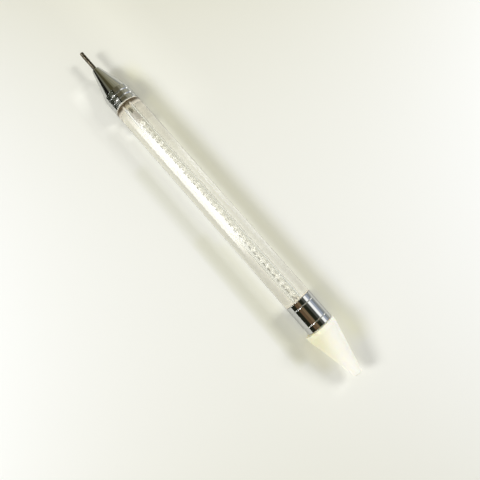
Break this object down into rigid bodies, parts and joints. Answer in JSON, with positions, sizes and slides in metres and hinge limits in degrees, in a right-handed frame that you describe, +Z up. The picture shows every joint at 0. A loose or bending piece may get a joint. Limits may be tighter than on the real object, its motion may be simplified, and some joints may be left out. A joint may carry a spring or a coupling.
{
  "type": "rhinestone picker",
  "caption": "Double-ended picking pen: clear handle filled with loose cut stones, chromed nose with a thin steel rod, chromed ferrule and a screw-on cream wax cone.",
  "frame": {"origin": "on the resting line, under the middle of the clear handle", "axes": "+X along the tool towards the wax head, +Z up with the tool lying on its side, +Y across the tool"},
  "size_m": [0.1334, 0.0103, 0.0103],
  "materials": {
    "rod_steel": "drawn steel, faint lengthwise brushing, slightly dulled",
    "chrome": "polished chrome plating with turned grooves",
    "clear_acrylic": "clear polished acrylic",
    "plug_rubber": "matt grey rubber",
    "brass": "turned brass",
    "stud_steel": "zinc-plated thread",
    "core_plastic": "moulded white plastic",
    "wax": "soft cream wax, faintly translucent, satin",
    "cut_stone": "clear facetted stone"
  },
  "bodies": {
    "handle": {"picker_rod": "rod_steel", "nose_cap": "chrome", "barrel": "clear_acrylic", "bore_plug": "plug_rubber", "rear_ferrule": "chrome", "ferrule_insert": "brass", "stone_01": "cut_stone", "stone_02": "cut_stone", "stone_03": "cut_stone", "stone_04": "cut_stone", "stone_05": "cut_stone", "stone_06": "cut_stone", "stone_07": "cut_stone", "stone_08": "cut_stone", "stone_09": "cut_stone", "stone_10": "cut_stone", "stone_11": "cut_stone", "stone_12": "cut_stone", "stone_13": "cut_stone", "stone_14": "cut_stone", "stone_15": "cut_stone", "stone_16": "cut_stone", "stone_17": "cut_stone", "stone_18": "cut_stone", "stone_19": "cut_stone", "stone_20": "cut_stone", "stone_21": "cut_stone", "stone_22": "cut_stone", "stone_23": "cut_stone", "stone_24": "cut_stone", "stone_25": "cut_stone", "stone_26": "cut_stone", "stone_27": "cut_stone", "stone_28": "cut_stone", "stone_29": "cut_stone", "stone_30": "cut_stone", "stone_31": "cut_stone", "stone_32": "cut_stone", "stone_33": "cut_stone", "stone_34": "cut_stone", "stone_35": "cut_stone", "stone_36": "cut_stone"},
    "head_core": {"tip_core": "core_plastic"},
    "wax_head": {"wax_tip": "wax", "tip_stud": "stud_steel"}
  },
  "joints": [
    {"name": "head_travel", "type": "slide", "parent": "handle", "child": "head_core", "axis": [1, 0, 0], "range_m": [0, 0.0045]},
    {"name": "head_unscrew", "type": "hinge", "parent": "head_core", "child": "wax_head", "pos_m": [0.05075, 0, 0.00449], "axis": [1, 0, 0], "range_deg": [0, 3240]}
  ],
  "couplings": [
    {"joint": "head_unscrew", "follows": "head_travel", "rad_per_m": 12566}
  ]
}
